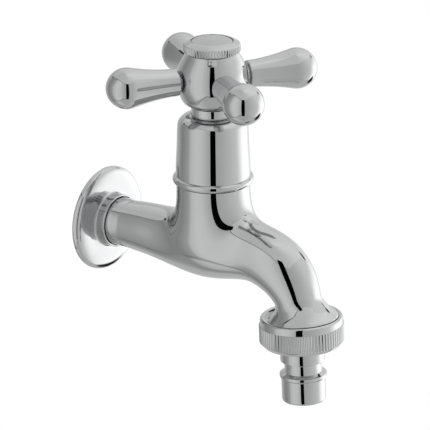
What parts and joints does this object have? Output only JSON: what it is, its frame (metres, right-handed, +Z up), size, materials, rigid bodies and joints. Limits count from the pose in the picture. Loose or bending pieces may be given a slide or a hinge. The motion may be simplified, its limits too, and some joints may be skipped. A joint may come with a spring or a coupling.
{
  "type": "hose bib",
  "caption": "Wall-mounted chrome garden tap with a cross handle on a rising spindle and a knurled coupling nut that holds a push-on hose tail.",
  "frame": {"origin": "on the inlet axis, in the plane of the wall that the flange lies against", "axes": "+X along the inlet axis, out of the wall; +Z up along the spindle; +Y to the left for a person facing along +X"},
  "size_m": [0.1311, 0.0812, 0.1487],
  "materials": {
    "chrome": "polished",
    "brass": "machined",
    "steel": "plain",
    "rubber": "matt",
    "fibre": "matt"
  },
  "bodies": {
    "tap_body": {"valve_body": "chrome", "bonnet": "brass", "bonnet_gasket": "fibre", "bonnet_cover": "chrome", "gland_nut": "chrome", "gland_packing": "fibre", "gland_follower": "brass"},
    "escutcheon": {"wall_flange": "chrome"},
    "valve_disc": {"jumper": "brass", "seat_washer": "rubber", "seat_washer_nut": "brass"},
    "handle": {"spindle": "brass", "handle_hub": "chrome", "handle_arm_1": "chrome", "handle_arm_2": "chrome", "handle_arm_3": "chrome", "handle_arm_4": "chrome", "handle_screw": "steel", "handle_screw_washer": "steel", "index_ring": "chrome", "index_disc": "chrome"},
    "tail": {"hose_tail": "chrome", "coupling_washer": "rubber"},
    "nut": {"coupling_nut": "chrome"}
  },
  "joints": [
    {"name": "flange_slide", "type": "slide", "parent": "tap_body", "child": "escutcheon", "axis": [1, 0, 0], "range_m": [0, 0.01]},
    {"name": "disc_lift", "type": "slide", "parent": "tap_body", "child": "valve_disc", "axis": [0, 0, 1], "range_m": [0, 0.005]},
    {"name": "handle_turn", "type": "hinge", "parent": "valve_disc", "child": "handle", "pos_m": [0.0588, 0, 0.0739], "axis": [0, 0, 1], "range_deg": [0, 900]},
    {"name": "tail_drop", "type": "slide", "parent": "tap_body", "child": "tail", "axis": [0.0401, 0, -0.9992], "range_m": [0, 0.00454]},
    {"name": "nut_turn", "type": "hinge", "parent": "tail", "child": "nut", "pos_m": [0.10457, 0, -0.0266], "axis": [0.0401, 0, -0.9992], "range_deg": [0, 900]}
  ],
  "couplings": [
    {"joint": "disc_lift", "follows": "handle_turn", "m_per_rad": 0.0003183},
    {"joint": "tail_drop", "follows": "nut_turn", "m_per_rad": 0.00028871}
  ]
}
